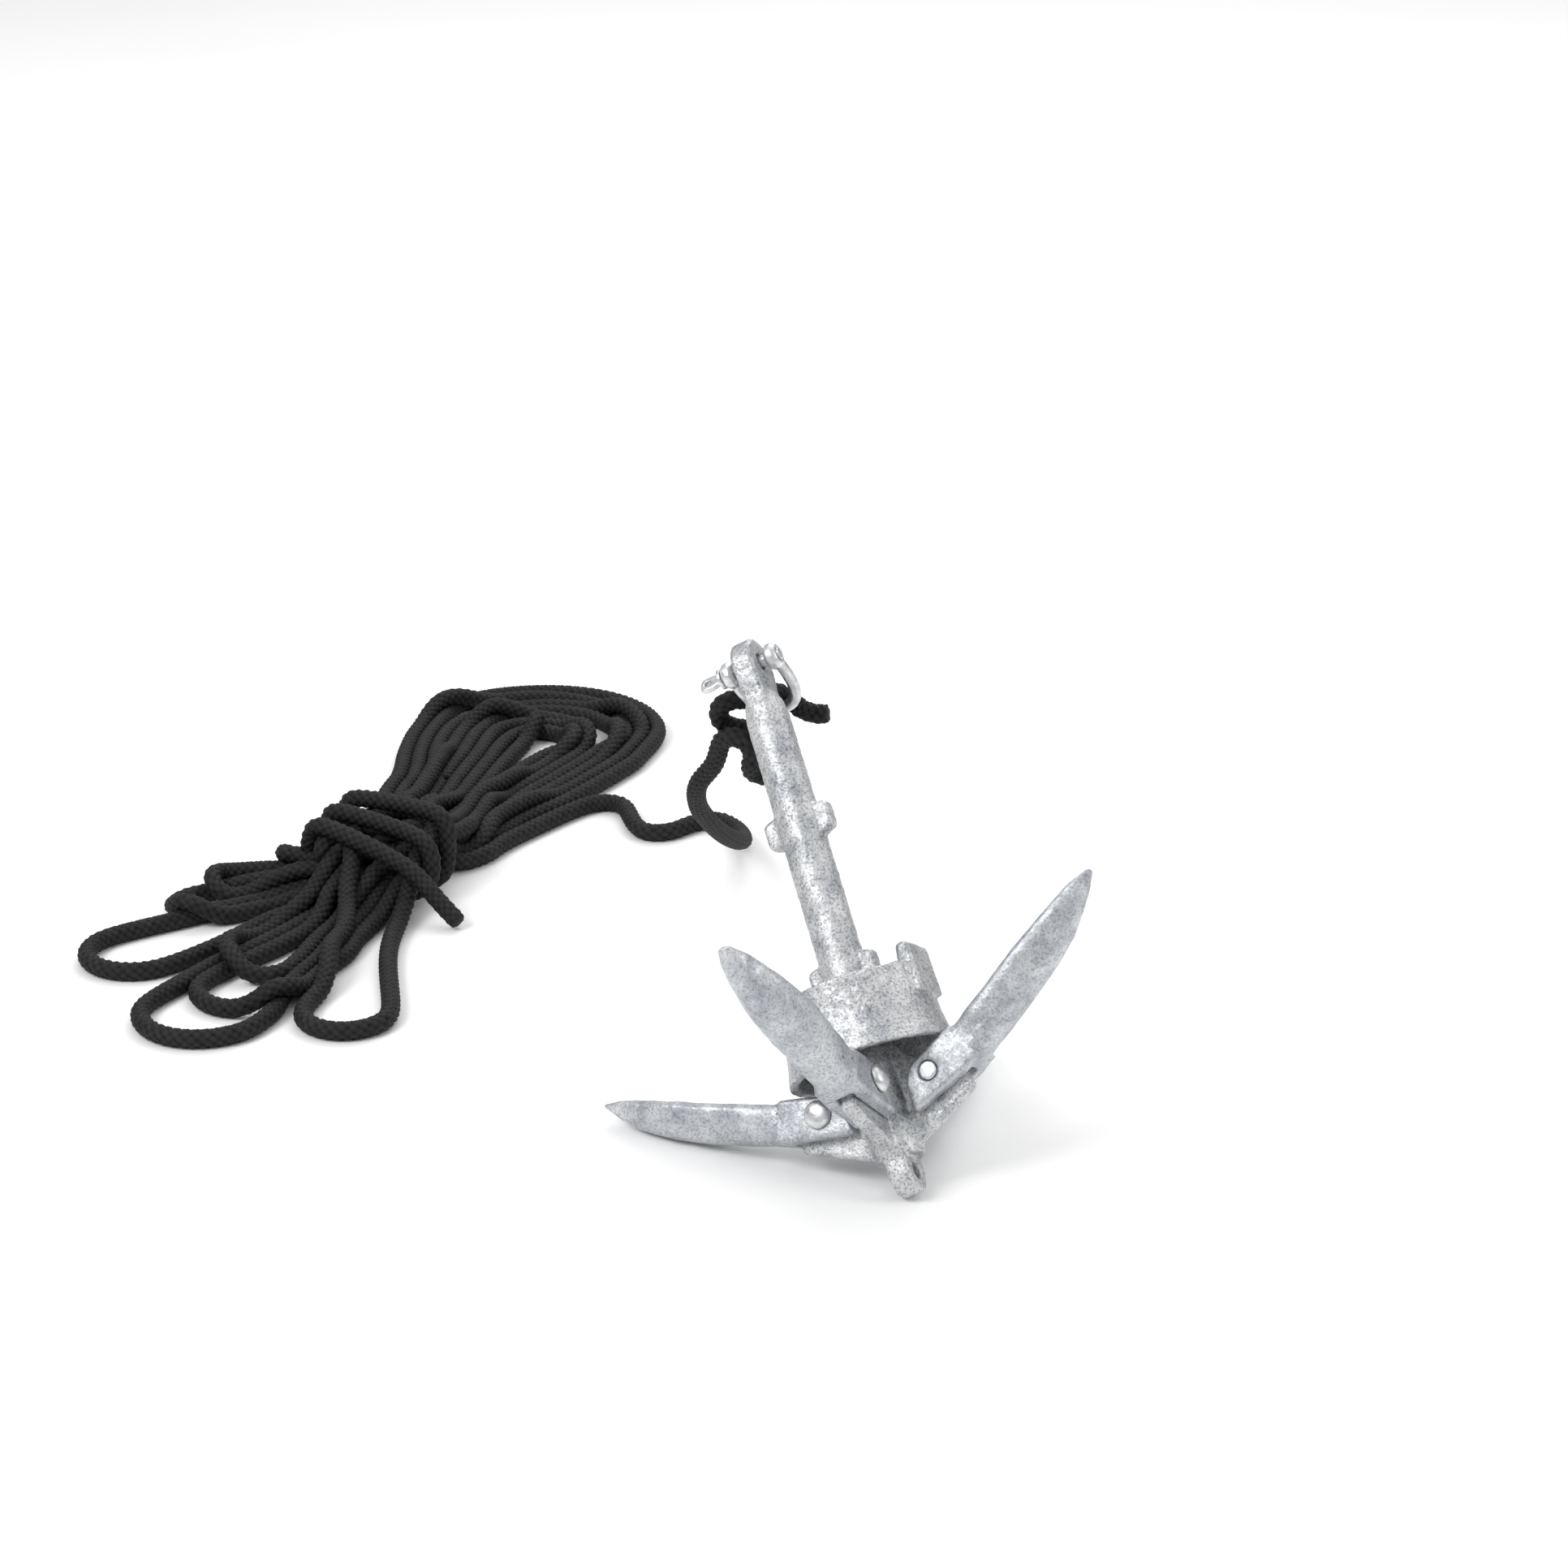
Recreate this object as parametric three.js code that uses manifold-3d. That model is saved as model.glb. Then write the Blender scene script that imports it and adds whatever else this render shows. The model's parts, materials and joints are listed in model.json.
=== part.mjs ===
// Folding grapnel anchor, four flukes open and locked by the sliding collar, standing as it
// rests on a level surface, with the bow shackle in its head eye.
//
// Every piece of the anchor is modelled in the anchor's own frame: +Z runs up the shank from
// the plane of the fluke rivets to the head eye, +X points to the right fluke, +Y to the back
// fluke. The whole anchor is then laid over onto the three points that it rests on.
import * as THREE from 'three';
import { mergeVertices } from 'three/addons/utils/BufferGeometryUtils.js';
import Module from 'manifold-3d';

const wasm = await Module();
wasm.setup();

// ---- driving dimensions, mm ----
const GAP = 0.3;                  // clearance between touching pieces
const SHANK_RADIUS = 11;
const EYE_HEIGHT = 222;           // head eye above the rivet plane
const EYE_TAB = { thickness: 11.4, radius: 12.5, hole: 4.6 };
const TRIP_EYE = { depth: 39, thickness: 11.5, width: 20, radius: 10.5, hole: 4.2 };
const WEB_THICKNESS = 7.6;        // the four crown webs that carry the flukes
const LUG = { reach: 17.4, width: 8, height: 13 };
const LUG_HEIGHTS = [60.5, 137];  // lower pair keeps the collar down, upper pair keeps it up

const RIVET_RING = 29;            // rivet centre from the shank axis
const RIVET = { radius: 4.5, headRadius: 6.8, headHeight: 4.4 };
const FLUKE_LENGTH = 118;         // rivet centre to blade tip
const CHEEK_OUTER = 11.3;         // half width of the forked root
const SLOT_HALF = WEB_THICKNESS / 2 + 0.6;
const BLADE_WALL = 4.6;
const FLUKES = [                  // splay is measured from the shank axis; each has a little play
  { name: 'right', azimuth: 0, splay: 58 },
  { name: 'back', azimuth: 90, splay: 65 },
  { name: 'left', azimuth: 180, splay: 66 },
  { name: 'front', azimuth: 270, splay: 63 },
];

const COLLAR = { lip: 14.8, top: 51, plate: 6, wall: 4.4, bore: 11.9, earTop: 62 };

const SHACKLE = { rod: 3, ear: 6.6, earWidth: 6.6, earCentre: 12, reach: 30, bulge: 14 };
const PIN = { radius: 3, flange: 5, gripHalf: 4.6, gripThickness: 3 };
const BOW_ANGLE = 56;             // bow from the line of the shank, held off it by the rope

const ROPE_RADIUS = 4.75;
const KNOT = {
  turn: 8.6,
  tail: new THREE.Vector3(12, -6.5, 50),
  exit: new THREE.Vector3(-30, -4, 42),
};
const HANK = { floor: 0.3, height: 34 };

const SHANK_HEADING = 112;        // way the shank leans over, from +X towards +Y

const rad = THREE.MathUtils.degToRad;

// ---- solids ----
function solid(geometry) {
  const bare = geometry.index ? geometry.toNonIndexed() : geometry.clone();
  bare.deleteAttribute('normal');
  bare.deleteAttribute('uv');
  const merged = mergeVertices(bare, 1e-4);
  return new wasm.Manifold(new wasm.Mesh({
    numProp: 3,
    vertProperties: new Float32Array(merged.attributes.position.array),
    triVerts: new Uint32Array(merged.index.array),
  }));
}

function geometryOf(body) {
  const mesh = body.getMesh();
  const geometry = new THREE.BufferGeometry();
  geometry.setAttribute('position', new THREE.BufferAttribute(mesh.vertProperties, 3));
  geometry.setIndex(new THREE.BufferAttribute(mesh.triVerts, 1));
  geometry.computeVertexNormals();
  return geometry;
}

function cylinderAlong(axis, radius, from, to, sides = 24) {
  const geometry = new THREE.CylinderGeometry(radius, radius, to - from, sides);
  geometry.translate(0, (from + to) / 2, 0);
  if (axis === 'x') geometry.rotateZ(-Math.PI / 2);
  if (axis === 'z') geometry.rotateX(Math.PI / 2);
  return geometry;
}

function box(width, depth, height, x, y, z) {
  return new THREE.BoxGeometry(width, depth, height).translate(x, y, z);
}

// A plate from an outline, with its thickness centred on the outline's plane.
function plate(points, thickness, bevel, curveSegments = 6) {
  const shape = points instanceof THREE.Shape ? points : new THREE.Shape(points);
  const geometry = new THREE.ExtrudeGeometry(shape, {
    depth: thickness - 2 * bevel,
    bevelEnabled: bevel > 0,
    bevelThickness: bevel,
    bevelSize: bevel,
    bevelOffset: -bevel,
    bevelSegments: 1,
    curveSegments,
  });
  return geometry.translate(0, 0, bevel - thickness / 2);
}

// A closed outline through corners, each rounded by its own radius.
function roundedOutline(corners) {
  const shape = new THREE.Shape();
  const count = corners.length;
  corners.forEach(([x, y, radius], i) => {
    const corner = new THREE.Vector2(x, y);
    const before = new THREE.Vector2(...corners[(i + count - 1) % count]).sub(corner);
    const after = new THREE.Vector2(...corners[(i + 1) % count]).sub(corner);
    const start = corner.clone().addScaledVector(before.normalize(), radius);
    const end = corner.clone().addScaledVector(after.normalize(), radius);
    if (i === 0) shape.moveTo(start.x, start.y);
    else shape.lineTo(start.x, start.y);
    if (radius > 0) shape.quadraticCurveTo(x, y, end.x, end.y);
  });
  return shape;
}

// A cylinder whose rows are reshaped: place(t, across, out) gives the point for the share t of
// its length and the unit directions across (x) and out (z) of the row.
function reshaped(sides, rows, place) {
  const geometry = new THREE.CylinderGeometry(1, 1, 1, sides, rows);
  const position = geometry.attributes.position;
  for (let i = 0; i < position.count; i += 1) {
    const point = place(0.5 - position.getY(i), position.getX(i), position.getZ(i));
    position.setXYZ(i, point.x, point.y, point.z);
  }
  return geometry;
}

// Value at x on the polyline of [x, value, ...] stations, eased between them.
function station(rows, x, column) {
  const last = rows.length - 1;
  if (x <= rows[0][0]) return rows[0][column];
  if (x >= rows[last][0]) return rows[last][column];
  const next = rows.findIndex((row) => row[0] >= x);
  const [from, to] = [rows[next - 1], rows[next]];
  const share = (x - from[0]) / (to[0] - from[0]);
  return THREE.MathUtils.lerp(from[column], to[column], share);
}

// ---- materials ----
const castZinc = { color: 0xb9bdc0, roughness: 0.55, metalness: 0.85 };
const brightZinc = { color: 0xc6c9cb, roughness: 0.4, metalness: 0.9 };

function piece(name, body, look) {
  const geometry = body instanceof THREE.BufferGeometry ? body : geometryOf(body);
  const mesh = new THREE.Mesh(geometry, new THREE.MeshStandardMaterial(look));
  mesh.name = name;
  return mesh;
}

// ---- shank casting: shank, head eye, lugs, four crown webs and trip-line eye in one ----
const headTop = EYE_HEIGHT + EYE_TAB.radius;

function shankBody() {
  const profile = [[0, -32], [11.5, -32], [12.6, -24], [12.2, 4], [11.4, 22], [SHANK_RADIUS, 60],
    [SHANK_RADIUS - 0.4, 192], [9.6, 200], [4.5, 213], [0, 213]];
  const geometry = new THREE.LatheGeometry(profile.map(([r, z]) => new THREE.Vector2(r, z)), 28);
  return solid(geometry.rotateX(Math.PI / 2));
}

function eyeTab(centre, neck, radius, width, thickness, direction) {
  const shape = new THREE.Shape();
  shape.moveTo(-width / 2, neck);
  shape.lineTo(-radius, centre);
  shape.absarc(0, centre, radius, Math.PI, 0, direction > 0);
  shape.lineTo(width / 2, neck);
  const geometry = plate(shape, thickness, 1.4, 10);
  return solid(geometry.rotateX(Math.PI / 2).rotateZ(Math.PI / 2));
}

// The web's outline in the plane of its fluke: x out from the shank axis, y up the shank.
function crownWeb(azimuth) {
  const outline = roundedOutline([
    [0, -31, 0], [9, -30, 0], [45.6, -12.6, 3], [43.6, -4.6, 2], [38.6, 1.5, 3],
    [33, 9, 4], [23.5, 9, 4], [13, 20, 5], [0, 24, 0],
  ]);
  const geometry = plate(outline, WEB_THICKNESS, 0.8, 4).rotateX(Math.PI / 2);
  return solid(geometry.rotateZ(rad(azimuth)));
}

function lug(height, side) {
  const outline = roundedOutline([
    [8, -LUG.height / 2 - 3, 0], [LUG.reach, -LUG.height / 2, 2.5],
    [LUG.reach, LUG.height / 2, 2.5], [8, LUG.height / 2 + 2, 0],
  ]);
  const geometry = plate(outline, LUG.width, 1.2, 3).rotateX(Math.PI / 2);
  return solid(geometry.rotateZ(side > 0 ? 0 : Math.PI).translate(0, 0, height));
}

function shankCasting() {
  let body = shankBody();
  body = body.add(eyeTab(EYE_HEIGHT, 192, EYE_TAB.radius, 17, EYE_TAB.thickness, 1));
  body = body.add(eyeTab(-TRIP_EYE.depth, -20, TRIP_EYE.radius, TRIP_EYE.width,
    TRIP_EYE.thickness, -1));
  for (const { azimuth } of FLUKES) body = body.add(crownWeb(azimuth));
  for (const height of LUG_HEIGHTS) body = body.add(lug(height, 1)).add(lug(height, -1));
  body = body.subtract(solid(cylinderAlong('x', EYE_TAB.hole, -20, 20)
    .translate(0, 0, EYE_HEIGHT)));
  body = body.subtract(solid(cylinderAlong('x', TRIP_EYE.hole, -20, 20)
    .translate(0, 0, -TRIP_EYE.depth)));
  for (const { azimuth } of FLUKES) {
    const hole = cylinderAlong('y', RIVET.radius + GAP, -9, 9).translate(RIVET_RING, 0, 0);
    body = body.subtract(solid(hole.rotateZ(rad(azimuth))));
  }
  return body;
}

// ---- fluke: forked root and a trough-shaped blade, open towards the shank ----
// Local frame: x along the blade from the rivet, y across it, z towards the shank.
// Stations: distance from the rivet, half width at the rims, half width of the spine, rim
// height and spine height.
const BLADE = [
  [9, 11.0, 10.4, 6.4, -14.6],
  [24, 12.2, 9.6, 4.8, -15.2],
  [42, 15.4, 8.4, 3.8, -15.8],
  [60, 17.0, 7.4, 3.3, -16.2],
  [76, 16.2, 6.8, 3.0, -15.6],
  [92, 12.8, 5.8, 2.5, -13.4],
  [105, 9.2, 5.0, 1.9, -8.8],
  [113, 6.2, 3.9, 1.2, -4.8],
  [FLUKE_LENGTH, 3.0, 2.2, -0.4, -2.2],
];
const TROUGH_END = 106;

function bladeSection(x, across, out, inset) {
  const square = (value) => Math.sign(value) * Math.abs(value) ** 0.62;
  const rim = station(BLADE, x, 3) + (inset > 0 ? 8 : 0);
  const spine = station(BLADE, x, 4) + inset;
  const rimHalf = Math.max(station(BLADE, x, 1) - inset * 0.72, 0.6);
  const spineHalf = Math.max(station(BLADE, x, 2) - inset * 1.15, 0.5);
  const lift = (square(out) + 1) / 2;
  const half = THREE.MathUtils.lerp(spineHalf, rimHalf, lift);
  return new THREE.Vector3(x, half * square(across), THREE.MathUtils.lerp(spine, rim, lift));
}

function bladeSolid(from, to, rows, inset) {
  return solid(reshaped(18, rows, (t, across, out) => {
    const x = THREE.MathUtils.lerp(from, to, t);
    return bladeSection(x, across, out, inset);
  }));
}

function flukeGeometry() {
  const root = roundedOutline([
    [-19.5, -7.5, 3], [-11.5, 5.5, 3.5], [-5, 9.2, 3], [9, 7.6, 3], [22, 5.2, 0],
    [22, -14.8, 0], [11.5, -14.2, 1],
  ]);
  const rootPlate = plate(root, 2 * CHEEK_OUTER, 1.3, 4).rotateX(Math.PI / 2);
  const slot = box(40, 2 * SLOT_HALF, 60, -7, 0, 0);
  const rivetHole = cylinderAlong('y', RIVET.radius + GAP, -16, 16);
  return solid(rootPlate)
    .add(bladeSolid(9, FLUKE_LENGTH, 11, 0))
    .subtract(bladeSolid(6, TROUGH_END, 9, BLADE_WALL))
    .subtract(solid(slot))
    .subtract(solid(rivetHole));
}

// ---- rivet: round shank, domed head on one cheek, peened flush on the other ----
function rivetGeometry() {
  const { radius, headRadius, headHeight } = RIVET;
  const head = CHEEK_OUTER + GAP;
  const dome = [0.93, 0.74, 0.42].map((share) => (
    [headRadius * share, head + 0.8 + (headHeight - 0.8) * Math.sqrt(1 - share ** 2)]));
  const profile = [[0, -CHEEK_OUTER - 0.4], [radius - 0.6, -CHEEK_OUTER - 0.4],
    [radius, -CHEEK_OUTER + 0.2], [radius, head], [headRadius, head], [headRadius, head + 0.8],
    ...dome, [0, head + headHeight]];
  return new THREE.LatheGeometry(profile.map(([r, y]) => new THREE.Vector2(r, y)), 24);
}

// ---- collar: a bell with a bored top plate, a lobed skirt and two raised ears ----
function collarRadius(angle, level) {
  // Full over the ears, flatter over the front and back flukes, waisted between them.
  const ears = Math.cos(angle) ** 4;
  const corners = Math.sin(2 * angle) ** 2;
  const flare = 2.2 * (1 - level) ** 2 - 1.6 * Math.sin(Math.PI * level);
  return 35.6 + 3.6 * ears + 0.6 * corners + flare;
}

function collarSkirt(from, to, inset) {
  return solid(reshaped(40, 5, (t, across, out) => {
    const level = THREE.MathUtils.lerp(from, to, t);
    const share = (level - COLLAR.lip) / (COLLAR.top - COLLAR.lip);
    const span = Math.hypot(across, out);
    const angle = Math.atan2(out, across);
    const radius = (collarRadius(angle, THREE.MathUtils.clamp(share, 0, 1)) - inset) * span;
    return new THREE.Vector3(radius * Math.cos(angle), -radius * Math.sin(angle), level);
  }));
}

function collarGeometry() {
  const { lip, top, plate: thickness, wall, bore, earTop } = COLLAR;
  let body = collarSkirt(top, lip, 0);
  for (const side of [1, -1]) {
    const ear = roundedOutline([[27, 36, 0], [39.4, 36, 0], [38.6, earTop, 4],
      [31.5, earTop, 2], [29.5, 46, 0]]);
    const block = roundedOutline([[18.6, 44, 0], [29, 44, 0], [29, 56.5, 2],
      [18.6, 56.5, 2]]);
    const ears = solid(plate(ear, 24, 1.5, 4).rotateX(Math.PI / 2))
      .add(solid(plate(block, 11, 1.2, 3).rotateX(Math.PI / 2)));
    body = body.add(side > 0 ? ears : ears.rotate([0, 0, 180]));
  }
  const notchReach = LUG.reach + 1;
  return body
    .subtract(collarSkirt(top - thickness, lip - 5, wall))
    .subtract(solid(cylinderAlong('z', bore, lip, top + 5, 32)))
    .subtract(solid(box(2 * notchReach, LUG.width + 2, 60, 0, 0, top)));
}

// ---- shackle ----
// Local frame: x along the pin, z from the pin towards the crown of the bow (downwards is +z).
class BowCurve extends THREE.Curve {
  getPoint(t, target = new THREE.Vector3()) {
    const { earCentre, reach, bulge } = SHACKLE;
    const turn = Math.PI * t;
    const swell = earCentre + (bulge - earCentre) * Math.sin(turn) ** 0.8;
    const x = -swell * Math.sign(Math.cos(turn)) * Math.abs(Math.cos(turn)) ** 0.62;
    return target.set(x, 0, reach * Math.sin(turn) ** 0.95);
  }
}

function circleShape(radius, sides) {
  const points = Array.from({ length: sides }, (_, i) => new THREE.Vector2(
    radius * Math.cos((2 * Math.PI * i) / sides), radius * Math.sin((2 * Math.PI * i) / sides)));
  return new THREE.Shape(points);
}

function tube(curve, radius, sides, steps) {
  return new THREE.ExtrudeGeometry(circleShape(radius, sides), {
    steps, bevelEnabled: false, extrudePath: curve,
  });
}

function shackleBow() {
  const { rod, ear, earWidth, earCentre } = SHACKLE;
  let body = solid(tube(new BowCurve(), rod, 12, 36));
  const half = earWidth / 2;
  const profile = [[0, -half], [ear - 1.6, -half], [ear, -half + 1.8], [ear, half - 1.8],
    [ear - 1.6, half], [0, half]].map(([r, y]) => new THREE.Vector2(r, y));
  for (const side of [1, -1]) {
    const ring = new THREE.LatheGeometry(profile, 20).rotateZ(-Math.PI / 2);
    body = body.add(solid(ring.translate(side * earCentre, 0, 0)));
  }
  return body.subtract(solid(cylinderAlong('x', PIN.radius + GAP, -20, 20)));
}

function shacklePin() {
  const { earWidth, earCentre } = SHACKLE;
  const outer = earCentre + earWidth / 2;
  const shaft = cylinderAlong('x', PIN.radius, -outer - 1.5, outer + 0.8);
  const flange = cylinderAlong('x', PIN.flange, -outer - 2.4, -outer - GAP);
  const grip = roundedOutline([
    [-outer - 1.5, -2.6, 0], [-outer - 1.5, 2.6, 0], [-outer - 5, PIN.gripHalf, 2],
    [-outer - 13, PIN.gripHalf, 3.5], [-outer - 13, -PIN.gripHalf, 3.5],
    [-outer - 5, -PIN.gripHalf, 2],
  ].reverse());
  const gripEye = cylinderAlong('z', 1.8, -5, 5, 14).translate(-outer - 9, 0, 0);
  return solid(shaft)
    .add(solid(flange))
    .add(solid(plate(grip, PIN.gripThickness, 0.6, 4)))
    .subtract(solid(gripEye));
}

// ---- rope: the knot round the bow, the run down to the surface, and the tied hank ----
// Each solid is the plain outer shape that the rope fills.
function smoothTube(points, steps) {
  const curve = new THREE.CatmullRomCurve3(points, false, 'centripetal');
  return tube(curve, ROPE_RADIUS, 8, steps);
}

// In the shackle's frame: one turn round the crown of the bow, the tail beyond it, and the
// standing part out to the left.
function ropeKnot() {
  const { reach } = SHACKLE;
  const { turn, tail, exit } = KNOT;
  const back = new THREE.Vector3(0, -turn, reach);
  const tailTube = smoothTube([back, new THREE.Vector3(tail.x / 2, -turn - 0.4, reach + 10),
    tail], 4);
  const lead = smoothTube([back, new THREE.Vector3(-8, -turn - 2, reach + 4),
    new THREE.Vector3(-19, -turn, reach + 10), exit], 6);
  const ring = new THREE.TorusGeometry(turn, ROPE_RADIUS, 8, 20);
  ring.rotateY(Math.PI / 2).translate(0, 0, reach);
  return solid(ring).add(solid(tailTube)).add(solid(lead));
}

// Centre of the run, on the level surface's axes, from the knot to the edge of the hank.
const RUN_ROUTE = [
  [-47, 121, 152], [-58, 128, 140], [-66, 146, 122], [-66, 172, 101], [-60, 204, 79],
  [-53, 240, 58], [-46, 280, 38], [-41, 320, 21.5], [-40, 352, 10.5], [-43, 377, 5.4],
  [-53, 392, 4.9], [-67, 388, 4.9], [-80, 376, 4.9], [-93, 375, 4.9], [-101, 388, 4.9],
  [-104, 404, 4.9],
];

// Outline of the hank on the surface: loops at the near left, the wrapped waist, and the long
// loops at the far right.
const HANK_OUTLINE = [
  [-206, 286], [-173, 350], [-138, 381], [-111, 412], [-102, 446], [-99, 490], [-108, 545],
  [-134, 590], [-172, 600], [-212, 560], [-240, 500], [-258, 420], [-272, 384], [-306, 388],
  [-338, 300], [-376, 208], [-366, 172], [-330, 112], [-294, 101], [-240, 120], [-226, 184],
];

function hankSolid() {
  const outline = HANK_OUTLINE.map(([x, y]) => new THREE.Vector2(x, y));
  const body = plate(outline, HANK.height, 3, 2);
  return body.translate(0, 0, HANK.floor + HANK.height / 2);
}

// ---- assembly in the anchor's own frame ----
const anchor = new THREE.Group();
anchor.add(piece('shank_casting', shankCasting(), castZinc));
anchor.add(piece('locking_collar', collarGeometry(), castZinc));

const blade = geometryOf(flukeGeometry());
const rivet = rivetGeometry();
for (const { name, azimuth, splay } of FLUKES) {
  const arm = new THREE.Group();
  arm.rotation.z = rad(azimuth);
  const fluke = piece(`fluke_${name}`, blade, castZinc);
  fluke.position.x = RIVET_RING;
  fluke.rotation.y = rad(splay - 90);
  const pivot = piece(`rivet_${name}`, rivet, brightZinc);
  pivot.position.x = RIVET_RING;
  arm.add(fluke, pivot);
  anchor.add(arm);
}

const shackle = new THREE.Group();
shackle.position.z = EYE_HEIGHT;
shackle.rotation.x = rad(180 + BOW_ANGLE);
shackle.add(piece('shackle_bow', shackleBow(), brightZinc));
shackle.add(piece('shackle_pin', shacklePin(), brightZinc));
anchor.add(shackle);

// ---- laid over onto the left and back fluke tips and the trip-line eye ----
function lowestPoint(mesh, up) {
  const position = mesh.geometry.attributes.position;
  const point = new THREE.Vector3();
  let lowest = new THREE.Vector3();
  let depth = Infinity;
  for (let i = 0; i < position.count; i += 1) {
    point.fromBufferAttribute(position, i).applyMatrix4(mesh.matrixWorld);
    if (point.dot(up) < depth) {
      depth = point.dot(up);
      lowest = point.clone();
    }
  }
  return lowest;
}

function restNormal() {
  anchor.updateMatrixWorld(true);
  const feet = ['fluke_left', 'fluke_back', 'shank_casting'].map((n) => anchor.getObjectByName(n));
  const up = new THREE.Vector3(1, -1, 1.5).normalize();
  for (let round = 0; round < 4; round += 1) {
    const [left, back, heel] = feet.map((mesh) => lowestPoint(mesh, up));
    up.crossVectors(back.sub(heel), left.sub(heel)).normalize();
    if (up.z < 0) up.negate();
  }
  return up;
}

function layDown() {
  const level = new THREE.Quaternion().setFromUnitVectors(restNormal(), new THREE.Vector3(0, 0, 1));
  const shank = new THREE.Vector3(0, 0, 1).applyQuaternion(level);
  const turn = rad(SHANK_HEADING) - Math.atan2(shank.y, shank.x);
  const heading = new THREE.Quaternion().setFromAxisAngle(new THREE.Vector3(0, 0, 1), turn);
  anchor.quaternion.copy(heading.multiply(level));
  anchor.updateMatrixWorld(true);
  const bounds = new THREE.Box3().setFromObject(anchor, true);
  anchor.position.set(-(bounds.min.x + bounds.max.x) / 2, -(bounds.min.y + bounds.max.y) / 2,
    -bounds.min.z);
}

layDown();

const rope = { color: 0x17171a, roughness: 0.85, metalness: 0 };
shackle.add(piece('rope_knot', ropeKnot(), rope));
const route = RUN_ROUTE.map(([x, y, z]) => new THREE.Vector3(x, y, z));

const group = new THREE.Group();
group.add(anchor);
group.add(piece('rope_run', smoothTube(route, 60), rope));
group.add(piece('rope_hank', hankSolid(), rope));
group.updateMatrixWorld(true);

export default group;
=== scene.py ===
import json
import math

import bpy
import numpy as np
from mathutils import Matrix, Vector, noise


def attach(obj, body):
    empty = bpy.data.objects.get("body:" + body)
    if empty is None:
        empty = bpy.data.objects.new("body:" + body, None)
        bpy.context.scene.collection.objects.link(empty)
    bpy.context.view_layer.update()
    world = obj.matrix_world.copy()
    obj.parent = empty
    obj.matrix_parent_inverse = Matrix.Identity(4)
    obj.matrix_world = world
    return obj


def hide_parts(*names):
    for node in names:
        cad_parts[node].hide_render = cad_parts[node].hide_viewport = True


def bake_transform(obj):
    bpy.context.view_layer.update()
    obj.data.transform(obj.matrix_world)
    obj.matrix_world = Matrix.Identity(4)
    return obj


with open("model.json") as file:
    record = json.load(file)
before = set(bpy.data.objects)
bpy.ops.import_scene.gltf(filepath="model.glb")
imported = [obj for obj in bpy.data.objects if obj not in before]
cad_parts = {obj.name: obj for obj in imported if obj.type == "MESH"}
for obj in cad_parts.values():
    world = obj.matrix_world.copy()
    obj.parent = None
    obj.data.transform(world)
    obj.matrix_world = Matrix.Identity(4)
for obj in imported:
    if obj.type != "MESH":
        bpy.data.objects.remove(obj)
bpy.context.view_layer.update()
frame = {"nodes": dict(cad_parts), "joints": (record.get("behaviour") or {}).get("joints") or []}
joints = {joint["name"]: joint for joint in frame["joints"]}


# ---- camera ----
def photo_camera():
    data = bpy.data.cameras.new("photo_camera")
    data.sensor_width = 36.0
    data.lens = 93.2
    camera = bpy.data.objects.new("photo_camera", data)
    camera.location = (-0.0775, -1.7424, 0.8538)
    camera.rotation_euler = (math.radians(68.82), 0, math.radians(-1.65))
    bpy.context.collection.objects.link(camera)
    bpy.context.scene.camera = camera


photo_camera()


# ---- rope: facts ----
ROPE = 0.0095                     # diameter
R = ROPE / 2
STEP = 0.005                      # spacing of the points that settle
BEND = 0.014                      # tighter bends than this radius are opened as the rope settles
FLOOR_GAP = 0.0002                # left between the settled rope and the surface
HALF_BRAID = 6                    # strands laid each way round the braid

# The run from the knot to the hank, as in the CAD.
RUN_ROUTE = np.array([
    [-47, 121, 152], [-58, 128, 140], [-66, 146, 122], [-66, 172, 101], [-60, 204, 79],
    [-53, 240, 58], [-46, 280, 38], [-41, 320, 21.5], [-40, 352, 10.5], [-43, 377, 5.4],
    [-53, 392, 4.9], [-67, 388, 4.9], [-80, 376, 4.9], [-93, 375, 4.9], [-101, 388, 4.9],
    [-104, 404, 4.9],
]) / 1000

# The knot in the shackle's own directions, in mm: along the pin, towards the shank, along the bow.
BOW_ANGLE = math.radians(56)
KNOT_TAIL = [[14, -6.5, 48.5], [8, -7.5, 46.5], [2.5, -9.5, 41], [1.5, -10, 35.5]]
KNOT_LOOPS = [
    [-16, -9, 24], [-24, -8, 18.5], [-31, -8, 20], [-34.5, -8, 27], [-31, -8, 34.5],
    [-23, -7.5, 40], [-15, -4, 46], [-12, 1, 53.5], [-18, 4.5, 60], [-27, 4.5, 60.5],
    [-32, 5, 54], [-29, 8, 47.5], [-24, 9.5, 41.5], [-23, 8, 34.5], [-29, 4.5, 30], [-37, 0, 33],
]

# The hank: the near loops fan out from the waist, and the far ones lie inside each other.
WAIST = np.array([-0.232, 0.318])
WAIST_HEADING = math.radians(68)
WAIST_HALF_LENGTH = 0.03
WAIST_HALF_WIDTH = 0.023
WAIST_TOP = 0.034                 # height that the tie draws the centrelines down to
NEAR_LOOPS = [                    # heading in degrees, reach and bend radius in mm
    (219, 192, 27), (245, 234, 33), (203, 128, 20), (247, 194, 27),
    (192, 106, 15), (243, 154, 19), (168, 112, 19), (266, 208, 23),
]
FAR_HEADING = 71
FAR_REACH = (303, 11.5)           # outermost, and what each next one is shorter by, mm
FAR_BEND = (69, 7.5)
END_REACH = 236                   # the bare end lies along the middle of the far loops
LAYER = 0.0056                    # each turn is laid this much higher before it settles


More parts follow.
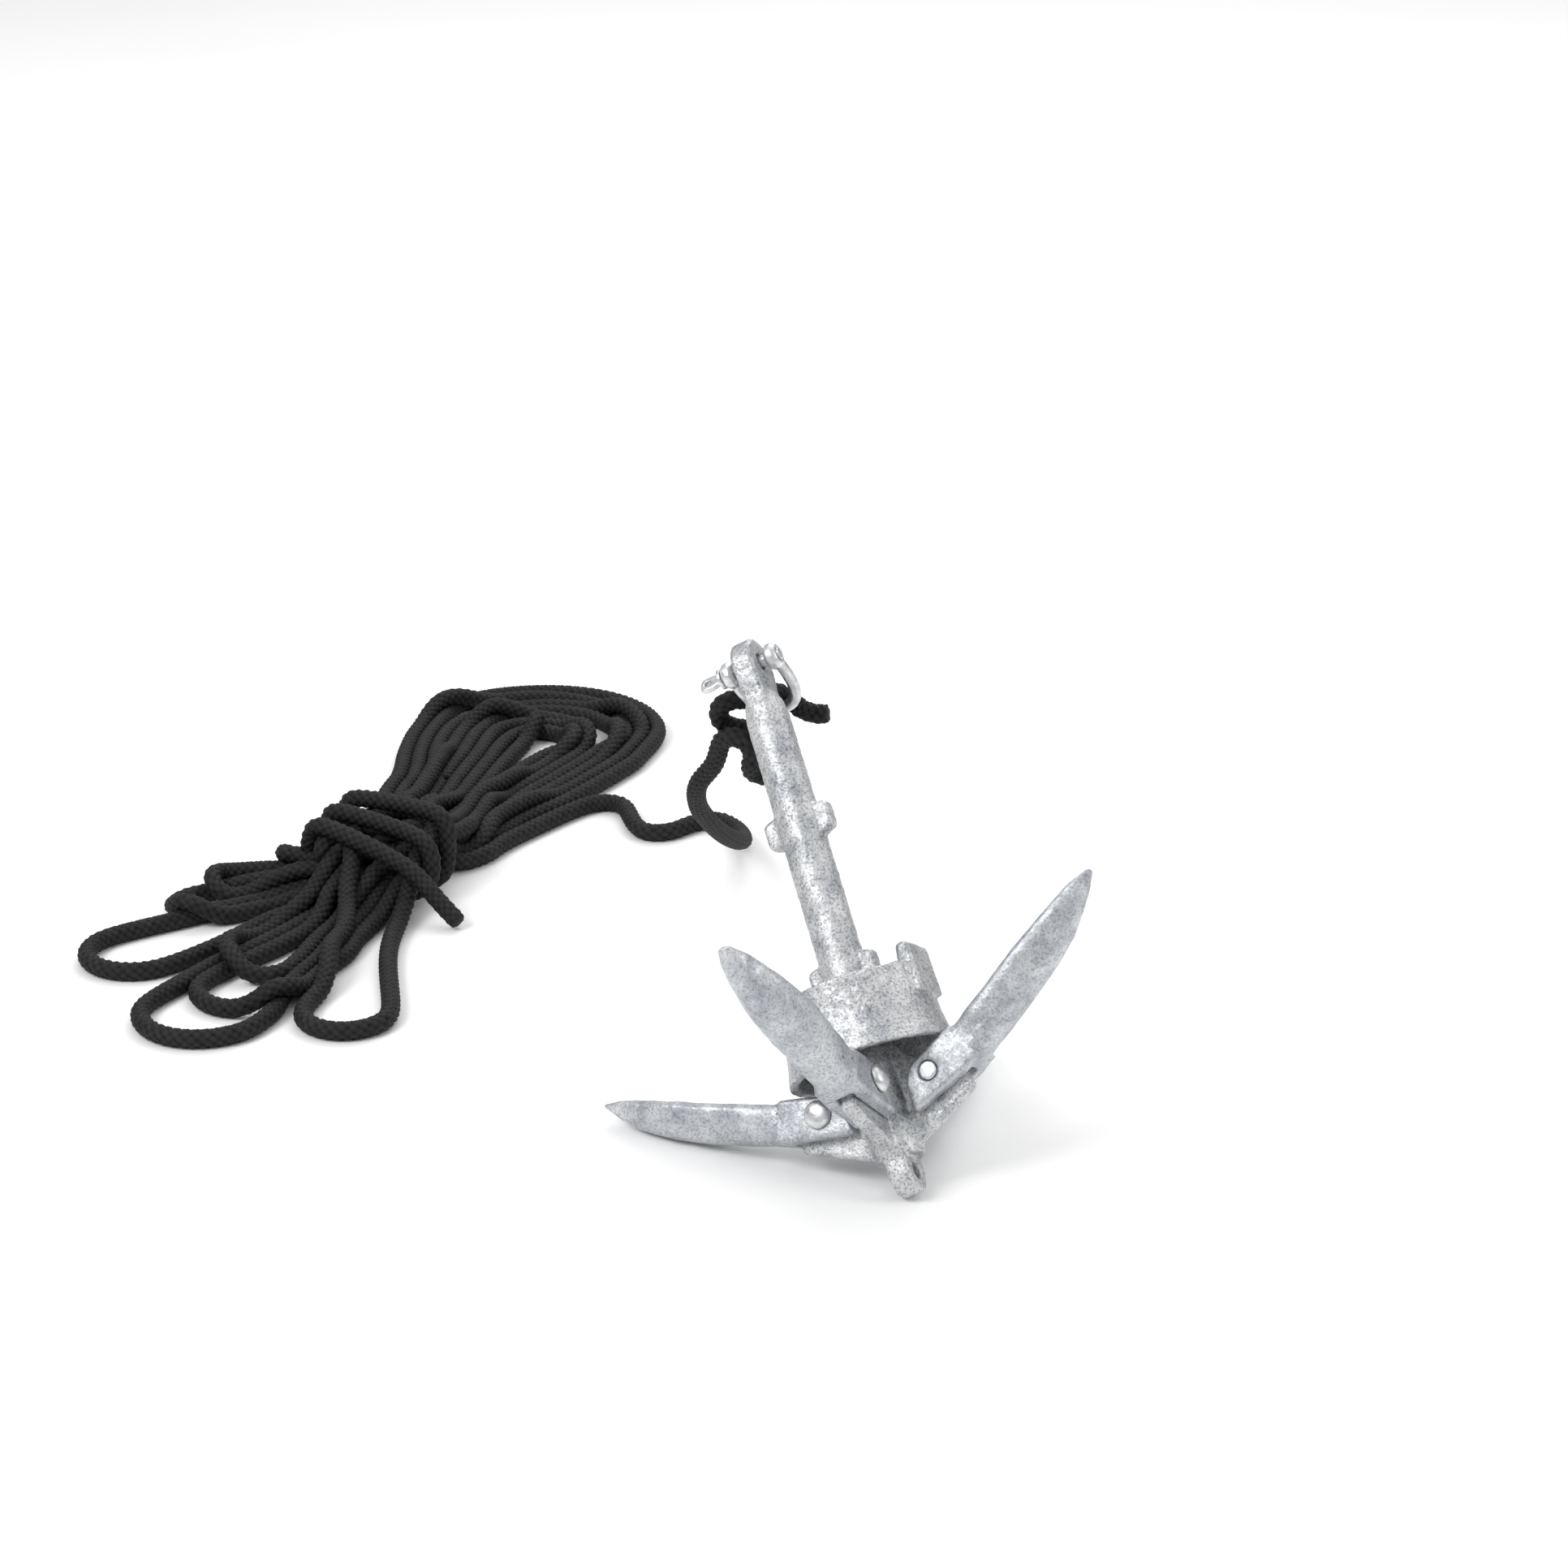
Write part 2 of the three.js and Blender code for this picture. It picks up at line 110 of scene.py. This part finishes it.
def catmull(points, step):
    """Points a step apart along one smooth curve through the given ones."""
    points = np.asarray(points, float)
    padded = np.vstack([2 * points[0] - points[1], points, 2 * points[-1] - points[-2]])
    fine = []
    share = np.linspace(0, 1, 24, endpoint=False)[:, None]
    for a, b, c, d in zip(padded, padded[1:], padded[2:], padded[3:]):
        fine.append(0.5 * (2 * b + (c - a) * share + (2 * a - 5 * b + 4 * c - d) * share**2
                           + (3 * b - a - 3 * c + d) * share**3))
    fine = np.vstack(fine + [points[-1:]])
    return resample(fine, step)


def resample(points, step):
    """Evenly spaced points on the straight pieces between the given ones, about a step apart."""
    along = np.concatenate([[0], np.cumsum(np.linalg.norm(np.diff(points, axis=0), axis=1))])
    count = max(2, int(round(along[-1] / step)) + 1)
    places = np.linspace(0, along[-1], count)
    return np.stack([np.interp(places, along, points[:, k]) for k in range(3)], axis=1)


def length_of(points):
    return float(np.linalg.norm(np.diff(points, axis=0), axis=1).sum())


def heading(degrees):
    return np.array([math.cos(math.radians(degrees)), math.sin(math.radians(degrees))])


# ---- rope: route ----
def knot_route():
    """Tail, a round turn over the crown of the bow, a half hitch beside it, and the lead."""
    pin = np.array(joints["shackle_swing"]["pos_m"])
    along_pin = np.array(joints["shackle_swing"]["axis"])
    shank = np.array(joints["collar_slide"]["axis"])
    back = np.cross(shank, along_pin)
    bow = math.sin(BOW_ANGLE) * back - math.cos(BOW_ANGLE) * shank
    inward = -math.cos(BOW_ANGLE) * back - math.sin(BOW_ANGLE) * shank
    turn = []
    for share in np.linspace(0, 1, 9):
        angle = math.radians(-110 + 330 * share)
        turn.append([1 - 10 * share, 8.6 * math.sin(angle), 30 - 8.6 * math.cos(angle)])
    local = np.array(KNOT_TAIL + turn + KNOT_LOOPS) / 1000
    return pin + local @ np.array([along_pin, inward, bow])


def hank_loop(degrees, reach, bend, wander):
    """One loop on the surface: out on its left side, round the far bend, back on its right."""
    out = heading(degrees)
    left = np.array([-out[1], out[0]])
    centre = WAIST + (reach - bend) / 1000 * out
    points = [WAIST + (reach - bend) / 2000 * out + (0.55 * bend / 1000 + wander) * left]
    for angle in (95, 55, 18, -18, -55, -95):
        turn = math.radians(angle)
        points.append(centre + bend / 1000 * (math.cos(turn) * out + math.sin(turn) * left))
    points.append(WAIST + (reach - bend) / 2000 * out - (0.55 * bend / 1000 - wander) * left)
    return points


def hank_route():
    """Turns of the hank from the end of the run to the bare end, each laid on the last."""
    across = heading(math.degrees(WAIST_HEADING) + 90)
    flat = [RUN_ROUTE[-1][:2], [-0.112, 0.424], [-0.134, 0.412], [-0.168, 0.372]]
    height = [R] * len(flat)
    for turn, near in enumerate(NEAR_LOOPS):
        level = R + LAYER * (turn + 1)
        wander = 0.003 * math.sin(2.4 * turn)
        flat.append(WAIST - (0.006 + 0.0022 * turn) * across)
        flat += hank_loop(*near, wander)
        flat.append(WAIST + (0.006 + 0.0022 * turn) * across)
        if turn < len(NEAR_LOOPS) - 1:
            degrees = FAR_HEADING + 2.5 * math.sin(1.9 * turn)
            reach = FAR_REACH[0] - FAR_REACH[1] * turn
            bend = FAR_BEND[0] - FAR_BEND[1] * turn
            flat += hank_loop(degrees, reach, bend, wander)
        else:
            out = heading(FAR_HEADING + 1)
            flat += [WAIST + share * END_REACH / 1000 * out for share in (0.3, 0.65, 1)]
        height += [level] * (len(flat) - len(height))
    return np.column_stack([np.array(flat), height])


# ---- rope: settling on the surface ----
def waist_frame(points):
    """Distance along the hank from its waist, and across it."""
    along = heading(math.degrees(WAIST_HEADING))
    offset = points[:, :2] - WAIST
    return offset @ along, offset @ np.array([-along[1], along[0]])


def near_pairs(points, reach, apart):
    """Pairs of points closer than reach that are not neighbours on the rope."""
    squares = (points**2).sum(axis=1)
    gaps = squares[:, None] + squares[None, :] - 2 * points @ points.T
    first, second = np.nonzero(np.triu(gaps < reach**2, k=apart))
    return first, second


def push_apart(points, pairs, loose):
    first, second = pairs
    gap = points[first] - points[second]
    distance = np.maximum(np.linalg.norm(gap, axis=1), 1e-6)
    depth = np.maximum(ROPE - distance, 0)
    push = gap / distance[:, None] * depth[:, None] * 0.5
    total = np.zeros_like(points)
    count = np.zeros(len(points))
    np.add.at(total, first, push)
    np.add.at(total, second, -push)
    np.add.at(count, first, depth > 0)
    np.add.at(count, second, depth > 0)
    points += 1.2 * total / np.maximum(count, 1)[:, None] * loose[:, None]


def hold_spacing(points, loose):
    for start in (0, 1):
        a = points[start:-1:2]
        b = points[start + 1::2]
        free_a = loose[start:-1:2, None]
        free_b = loose[start + 1::2, None]
        span = b - a
        size = np.maximum(np.linalg.norm(span, axis=1), 1e-9)[:, None]
        stretch = span * (1 - STEP / size) / np.maximum(free_a + free_b, 1e-9)
        a += stretch * free_a
        b -= stretch * free_b


def hold_bend(points, loose):
    """Pushes apart points two and three steps along the rope, to open bends tighter than BEND."""
    for apart in (2, 3):
        least = 2 * BEND * math.sin(apart * STEP / (2 * BEND))
        span = points[apart:] - points[:-apart]
        size = np.maximum(np.linalg.norm(span, axis=1), 1e-6)[:, None]
        push = 0.3 * span / size * np.maximum(least - size, 0)
        points[apart:] += push * loose[apart:, None]
        points[:-apart] -= push * loose[:-apart, None]


def settle(points, loose, rounds=420):
    """The loose points sink under gravity onto the surface and each other; the others stay."""
    points = points.copy()
    route = points[:, :2].copy()
    along, _ = waist_frame(points)
    inward = heading(math.degrees(WAIST_HEADING) + 90)
    tied = (np.abs(along) < WAIST_HALF_LENGTH) & (loose > 0)
    # the tie passes under the waist, so the rope rests one diameter higher there
    lift = ROPE * np.clip(1.6 - np.abs(along + 0.012) / WAIST_HALF_LENGTH, 0, 1)
    floor = R + FLOOR_GAP + lift
    for step in range(rounds):
        calm = step > rounds - 80
        if step % 8 == 0:
            pairs = near_pairs(points, ROPE + 0.004, 4)
        points[:, 2] -= (0.00005 if calm else 0.0004) * loose
        middle = (points[:-2] + points[2:]) / 2 - points[1:-1]
        points[1:-1] += 0.22 * middle * loose[1:-1, None]
        points[:, :2] += 0.02 * (route - points[:, :2]) * loose[:, None]
        hold_spacing(points, loose)
        hold_bend(points, loose)
        push_apart(points, pairs, loose)
        _, across = waist_frame(points)
        excess = np.clip(across, -WAIST_HALF_WIDTH, WAIST_HALF_WIDTH) - across
        points[:, :2] += np.where(tied, excess, 0)[:, None] * inward * 0.5
        points[:, 2] -= np.where(tied, np.maximum(points[:, 2] - WAIST_TOP, 0), 0) * 0.5
        points[:, 2] = np.where(loose > 0, np.maximum(points[:, 2], floor), points[:, 2])
    return points


def rope_route():
    knot = knot_route()
    lead = catmull(np.vstack([knot, RUN_ROUTE[1:]]), STEP)
    hank = catmull(hank_route(), STEP)
    points = np.vstack([lead, hank[1:]])
    loose = np.ones(len(points))
    loose[:len(lead) - 6] = 0
    return settle(points, loose)


# ---- rope: surface ----
def strand_bulge(across):
    return np.sqrt(np.maximum(1 - (1.96 * across)**2, 0))


def braid_height(turn, along):
    """Relief of a plain braid, 0 to 1: strands cross over and under in two directions."""
    left = turn + along
    right = turn - along
    strand = np.round(left)
    other = np.round(right)
    over = strand_bulge(left - strand) + 0.6 * np.cos(np.pi * (right + strand))
    under = strand_bulge(right - other) - 0.6 * np.cos(np.pi * (left + other))
    return np.clip((np.maximum(over, under) - 0.3) / 1.3, 0, 1)


def tube_frames(line):
    tangent = np.gradient(line, axis=0)
    tangent /= np.linalg.norm(tangent, axis=1)[:, None]
    side = np.zeros_like(line)
    side[0] = np.cross(tangent[0], [0.0, 0.0, 1.0])
    side[0] /= np.linalg.norm(side[0])
    for i in range(1, len(line)):
        kept = side[i - 1] - tangent[i] * (side[i - 1] @ tangent[i])
        side[i] = kept / np.linalg.norm(kept)
    return tangent, side, np.cross(tangent, side)


def braided_tube(name, route, sides=32, spacing=0.0011, relief=0.0017):
    """A closed tube with the braid raised on it and flat cut ends, with the braid's place as UV."""
    line = resample(route, spacing)
    for _ in range(6):
        line[1:-1] = (line[:-2] + 2 * line[1:-1] + line[2:]) / 4
    tangent, side, up = tube_frames(line)
    count = len(line)
    place = np.linspace(0, length_of(line), count)
    angle = np.linspace(0, 2 * math.pi, sides, endpoint=False)
    turn = HALF_BRAID * angle / (2 * math.pi)
    along = place / (2 * math.pi * R / HALF_BRAID)
    height = braid_height(turn[None, :], along[:, None])
    radius = R - relief * (1 - height) + 0.0004
    edge = np.minimum(place, place[-1] - place)
    radius *= (0.9 + 0.1 * np.clip(edge / 0.002, 0, 1))[:, None]
    sideways = np.cos(angle)[None, :, None] * side[:, None, :]
    upward = np.sin(angle)[None, :, None] * up[:, None, :]
    verts = (line[:, None, :] + radius[:, :, None] * (sideways + upward)).reshape(-1, 3)
    index = np.arange(count * sides).reshape(count, sides)
    ahead = np.roll(index, -1, axis=1)
    quads = np.stack([index[:-1], ahead[:-1], ahead[1:], index[1:]], axis=-1).reshape(-1, 4)
    ends = [line[0] - 0.0004 * tangent[0], line[-1] + 0.0004 * tangent[-1]]
    faces = quads.tolist()
    first, last = len(verts), len(verts) + 1
    for i in range(sides):
        j = (i + 1) % sides
        faces.append([first, j, i])
        faces.append([last, int(index[-1, i]), int(index[-1, j])])
    mesh = bpy.data.meshes.new(name)
    mesh.from_pydata(np.vstack([verts, ends]).tolist(), [], faces)
    mesh.polygons.foreach_set("use_smooth", [True] * len(mesh.polygons))
    # the braid's height, which the rope material uses to paint shade into the grooves
    raised = mesh.attributes.new("raised", "FLOAT", "POINT")
    raised.data.foreach_set("value", np.append(height.ravel(), [0.6, 0.6]))
    braid = mesh.uv_layers.new(name="braid")
    corners = np.empty(len(mesh.loops), int)
    mesh.loops.foreach_get("vertex_index", corners)
    around = np.append(np.tile(turn, count), [0, 0])[corners]
    down = np.append(np.repeat(along, sides), [0, along[-1]])[corners]
    quad_corners = len(quads) * 4
    wraps = np.zeros(len(corners))
    by_quad = around[:quad_corners].reshape(-1, 4)
    seam = (by_quad == 0) & (by_quad.max(axis=1) > HALF_BRAID / 2)[:, None]
    wraps[:quad_corners] = seam.ravel() * HALF_BRAID
    braid.data.foreach_set("uv", np.stack([around + wraps, down], axis=1).ravel())
    piece = bpy.data.objects.new(name, mesh)
    bpy.context.collection.objects.link(piece)
    return piece, line


# ---- rope: the tie round the waist ----
def tie_route(rope, turns=2.6, pitch=0.0215):
    """A helix drawn tight over the settled hank at its waist, ending in a short stub."""
    direction = heading(math.degrees(WAIST_HEADING))
    side = np.array([-direction[1], direction[0]])
    along, across = waist_frame(rope)
    points = []
    start = 0.016
    steps = int(turns * 48)
    for i in range(steps + 1):
        angle = math.radians(-70) + 2 * math.pi * turns * i / steps
        place = start - pitch * turns * i / steps
        window = (np.abs(along - place) < 0.009) & (np.abs(across) < 0.028)
        normal = np.array([math.cos(angle), math.sin(angle)])
        section = np.column_stack([across[window], rope[window, 2]])
        touch = section[np.argmax(section @ normal)] + normal * ROPE
        points.append(np.append(WAIST + direction * place + side * touch[0], max(touch[1], R)))
    points = np.array(points)
    for _ in range(10):
        points[1:-1] = (points[:-2] + 2 * points[1:-1] + points[2:]) / 4
    end = points[-1]
    tail = [end + np.append(-side * 0.012 - direction * 0.004, -0.009),
            end + np.append(-side * 0.026 - direction * 0.009, -0.02)]
    for point in tail:
        point[2] = max(point[2], R)
    return catmull(np.vstack([resample(points, 0.008), tail]), STEP)


# ---- materials ----
class Nodes:
    """A small helper for one material's node tree."""

    def __init__(self, name):
        self.material = bpy.data.materials.new(name)
        self.material.use_nodes = True
        self.tree = self.material.node_tree
        self.shader = self.tree.nodes["Principled BSDF"]
        coordinates = self.tree.nodes.new("ShaderNodeTexCoord")
        self.place = coordinates.outputs["Object"]
        self.uv = coordinates.outputs["UV"]

    def link(self, source, target):
        self.tree.links.new(source, target)

    def noise(self, scale, detail=3.0, roughness=0.6, place=None):
        node = self.tree.nodes.new("ShaderNodeTexNoise")
        node.inputs["Scale"].default_value = scale
        node.inputs["Detail"].default_value = detail
        node.inputs["Roughness"].default_value = roughness
        self.link(place or self.place, node.inputs["Vector"])
        return node.outputs["Fac"]

    def cells(self, scale):
        node = self.tree.nodes.new("ShaderNodeTexVoronoi")
        node.inputs["Scale"].default_value = scale
        self.link(self.place, node.inputs["Vector"])
        return node.outputs["Distance"]

    def ramp(self, value, *stops):
        node = self.tree.nodes.new("ShaderNodeValToRGB")
        elements = node.color_ramp.elements
        while len(elements) < len(stops):
            elements.new(0.5)
        for element, (position, color) in zip(elements, stops):
            element.position = position
            element.color = (*color, 1) if isinstance(color, tuple) else (color, color, color, 1)
        self.link(value, node.inputs["Fac"])
        return node.outputs["Color"]

    def math(self, operation, a, b):
        node = self.tree.nodes.new("ShaderNodeMath")
        node.operation = operation
        for socket, value in zip(node.inputs, (a, b)):
            if isinstance(value, (int, float)):
                socket.default_value = value
            else:
                self.link(value, socket)
        return node.outputs[0]

    def mix(self, factor, a, b, blend="MIX"):
        node = self.tree.nodes.new("ShaderNodeMix")
        node.data_type = "RGBA"
        node.blend_type = blend
        if isinstance(factor, (int, float)):
            node.inputs[0].default_value = factor
        else:
            self.link(factor, node.inputs[0])
        for socket, value in ((node.inputs[6], a), (node.inputs[7], b)):
            if isinstance(value, tuple):
                socket.default_value = (*value, 1)
            else:
                self.link(value, socket)
        return node.outputs[2]

    def bump(self, height, strength, distance, normal=None):
        node = self.tree.nodes.new("ShaderNodeBump")
        node.inputs["Strength"].default_value = strength
        node.inputs["Distance"].default_value = distance
        self.link(height, node.inputs["Height"])
        if normal is not None:
            self.link(normal, node.inputs["Normal"])
        return node.outputs["Normal"]


def galvanised(name, speckle, tint, pits):
    """Hot-dip zinc: fine bright and dark speckle, soft larger spangles, and a few dark pits."""
    nodes = Nodes(name)
    fine = nodes.noise(820, 2.5, 0.65)
    patches = nodes.noise(70, 4.0, 0.6)
    dark_patch = (0.4, 0.42, 0.45)
    pale_patch = (0.74, 0.75, 0.76)
    base = nodes.ramp(patches, (0.32, dark_patch), (0.5, tint), (0.72, pale_patch))
    grain = nodes.ramp(fine, (0.36, 0.72 - 0.24 * speckle), (0.5, 0.93), (0.64, 1.0))
    color = nodes.mix(1.0, base, grain, "MULTIPLY")
    if pits:
        spots = nodes.ramp(nodes.cells(150), (0.0, 1.0), (0.1, 1.0), (0.16, 0.0))
        rare = nodes.ramp(nodes.noise(48, 1.0), (0.58, 0.0), (0.66, 1.0))
        factor = nodes.math("MULTIPLY", spots, rare)
        color = nodes.mix(factor, color, (0.2, 0.2, 0.21))
    nodes.link(color, nodes.shader.inputs["Base Color"])
    nodes.shader.inputs["Metallic"].default_value = 0.8
    roughness = nodes.ramp(nodes.noise(260, 3.0), (0.35, 0.42), (0.65, 0.62))
    nodes.link(roughness, nodes.shader.inputs["Roughness"])
    coarse = nodes.bump(patches, 0.6, 0.0016)
    normal = nodes.bump(fine, 0.3 + 0.6 * speckle, 0.0003, coarse)
    nodes.link(normal, nodes.shader.inputs["Normal"])
    return nodes.material


def bright_zinc():
    """Zinc-plated forging: smooth, a little cloudy, with small handling marks."""
    nodes = Nodes("bright_zinc")
    cloud = nodes.noise(220, 3.0)
    color = nodes.ramp(cloud, (0.35, (0.58, 0.59, 0.6)), (0.6, (0.78, 0.79, 0.8)))
    nodes.link(color, nodes.shader.inputs["Base Color"])
    nodes.shader.inputs["Metallic"].default_value = 0.9
    roughness = nodes.ramp(nodes.noise(500, 3.0), (0.35, 0.3), (0.65, 0.48))
    nodes.link(roughness, nodes.shader.inputs["Roughness"])
    nodes.link(nodes.bump(cloud, 0.3, 0.0003), nodes.shader.inputs["Normal"])
    return nodes.material


def black_rope():
    """Black braided polyester: fibres run along each strand, painted shade darkens the grooves
    between the raised strands, and the tone is a little worn in patches.
    """
    nodes = Nodes("black_rope")
    stretch = nodes.tree.nodes.new("ShaderNodeMapping")
    stretch.inputs["Rotation"].default_value = (0, 0, math.radians(45))
    stretch.inputs["Scale"].default_value = (14, 1.6, 1)
    nodes.link(nodes.uv, stretch.inputs["Vector"])
    fibre = nodes.noise(3.0, 3.0, 0.6, stretch.outputs["Vector"])
    patches = nodes.noise(160, 3.0)
    raised = nodes.tree.nodes.new("ShaderNodeAttribute")
    raised.attribute_name = "raised"
    # painted shade: by the braid's height, the grooves are coloured near black and the raised
    # strands lighter
    groove_painted_shade = (0.0012, 0.0012, 0.0013)
    raised_color = (0.034, 0.033, 0.035)
    color = nodes.ramp(raised.outputs["Fac"], (0.2, groove_painted_shade), (0.85, raised_color))
    thread = nodes.ramp(fibre, (0.35, 0.45), (0.65, 1.0))
    wear = nodes.ramp(patches, (0.35, 0.6), (0.7, 1.0))
    color = nodes.mix(1.0, nodes.mix(1.0, color, thread, "MULTIPLY"), wear, "MULTIPLY")
    nodes.link(color, nodes.shader.inputs["Base Color"])
    roughness = nodes.ramp(fibre, (0.3, 0.75), (0.7, 0.5))
    nodes.link(roughness, nodes.shader.inputs["Roughness"])
    nodes.shader.inputs["Specular IOR Level"].default_value = 0.22
    nodes.link(nodes.bump(fibre, 0.6, 0.0003), nodes.shader.inputs["Normal"])
    return nodes.material


SHANK_ZINC = galvanised("shank_zinc", 1.0, (0.62, 0.63, 0.64), False)
FLUKE_ZINC = galvanised("fluke_zinc", 0.4, (0.56, 0.58, 0.61), True)
BRIGHT_ZINC = bright_zinc()
BLACK_ROPE = black_rope()


# ---- rope pieces ----
def make_rope():
    route = rope_route()
    rope, line = braided_tube("rope", route)
    rope.data.materials.append(BLACK_ROPE)
    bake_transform(rope)
    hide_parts("rope_knot", "rope_run", "rope_hank")
    tie, tie_line = braided_tube("rope_tie", tie_route(route))
    tie.data.materials.append(BLACK_ROPE)
    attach(tie, "shank")


make_rope()


# ---- castings and forgings ----
def cast_skin(node, body, material, voxel, lumps, lump_size):
    """The CAD piece with its facets melted into a cast surface, replacing the plain solid."""
    piece = frame["nodes"][node].copy()
    piece.data = frame["nodes"][node].data.copy()
    piece.name = f"{node}_skin"
    piece.parent = None
    bpy.context.collection.objects.link(piece)
    remesh = piece.modifiers.new("remesh", "REMESH")
    remesh.mode = "VOXEL"
    remesh.voxel_size = voxel
    remesh.use_smooth_shade = True
    smooth = piece.modifiers.new("smooth", "SMOOTH")
    smooth.factor = 0.5
    smooth.iterations = 5
    bpy.context.view_layer.update()
    ready = piece.evaluated_get(bpy.context.evaluated_depsgraph_get())
    piece.data = bpy.data.meshes.new_from_object(ready)
    piece.modifiers.clear()
    vertices = piece.data.vertices
    places = np.empty(len(vertices) * 3)
    normals = np.empty(len(vertices) * 3)
    vertices.foreach_get("co", places)
    vertices.foreach_get("normal", normals)
    rough = [noise.fractal(Vector(place), 0.7, 2.0, 3, noise_basis="PERLIN_ORIGINAL")
             for place in places.reshape(-1, 3) / lump_size]
    vertices.foreach_set("co", places + normals * np.repeat(rough, 3) * lumps)
    piece.data.materials.clear()
    piece.data.materials.append(material)
    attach(piece, body)
    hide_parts(node)
    return piece


cast_skin("shank_casting", "shank", SHANK_ZINC, 0.0008, 0.00022, 0.004)
cast_skin("locking_collar", "collar", SHANK_ZINC, 0.0007, 0.00022, 0.004)
for side in ("right", "back", "left", "front"):
    cast_skin(f"fluke_{side}", f"fluke_{side}", FLUKE_ZINC, 0.0008, 0.0004, 0.014)
    cast_skin(f"rivet_{side}", "shank", BRIGHT_ZINC, 0.0005, 0.0001, 0.003)
cast_skin("shackle_bow", "shackle", BRIGHT_ZINC, 0.0004, 0.0001, 0.004)
cast_skin("shackle_pin", "shackle_pin", BRIGHT_ZINC, 0.0004, 0.0001, 0.003)


# ---- floor and light ----
def soft_sky():
    """A bright soft ceiling that falls off to a grey horizon."""
    world = bpy.data.worlds.new("studio")
    world.use_nodes = True
    tree = world.node_tree
    place = tree.nodes.new("ShaderNodeTexCoord")
    split = tree.nodes.new("ShaderNodeSeparateXYZ")
    ramp = tree.nodes.new("ShaderNodeValToRGB")
    ramp.color_ramp.elements[0].position = 0.0
    ramp.color_ramp.elements[0].color = (0.22, 0.22, 0.23, 1)
    ramp.color_ramp.elements[1].position = 0.75
    ramp.color_ramp.elements[1].color = (1, 1, 1, 1)
    tree.links.new(place.outputs["Generated"], split.inputs[0])
    tree.links.new(split.outputs["Z"], ramp.inputs["Fac"])
    tree.links.new(ramp.outputs["Color"], tree.nodes["Background"].inputs["Color"])
    tree.nodes["Background"].inputs["Strength"].default_value = 0.8
    return world


def studio():
    bpy.ops.mesh.primitive_plane_add(size=14, location=(0, 2.0, 0))
    floor = bpy.context.object
    floor.name = "studio_floor"
    nodes = Nodes("studio_floor")
    color = nodes.ramp(nodes.noise(3.0), (0.3, 0.93), (0.7, 0.95))
    nodes.link(color, nodes.shader.inputs["Base Color"])
    nodes.shader.inputs["Roughness"].default_value = 0.9
    floor.data.materials.append(nodes.material)
    for name, place, size, power in (
        ("key", (-1.6, -1.0, 1.9), 1.1, 34),
        ("fill", (1.9, -0.6, 1.2), 0.9, 10),
        ("rear", (0.5, 2.2, 2.2), 2.2, 34),
    ):
        data = bpy.data.lights.new(name, "AREA")
        data.size = size
        data.energy = power
        lamp = bpy.data.objects.new(name, data)
        lamp.location = place
        towards = Vector((0, 0.1, 0.05)) - Vector(place)
        lamp.rotation_euler = towards.to_track_quat("-Z", "Y").to_euler()
        bpy.context.collection.objects.link(lamp)
    bpy.context.scene.world = soft_sky()


studio()
bpy.context.scene.view_settings.view_transform = "Standard"
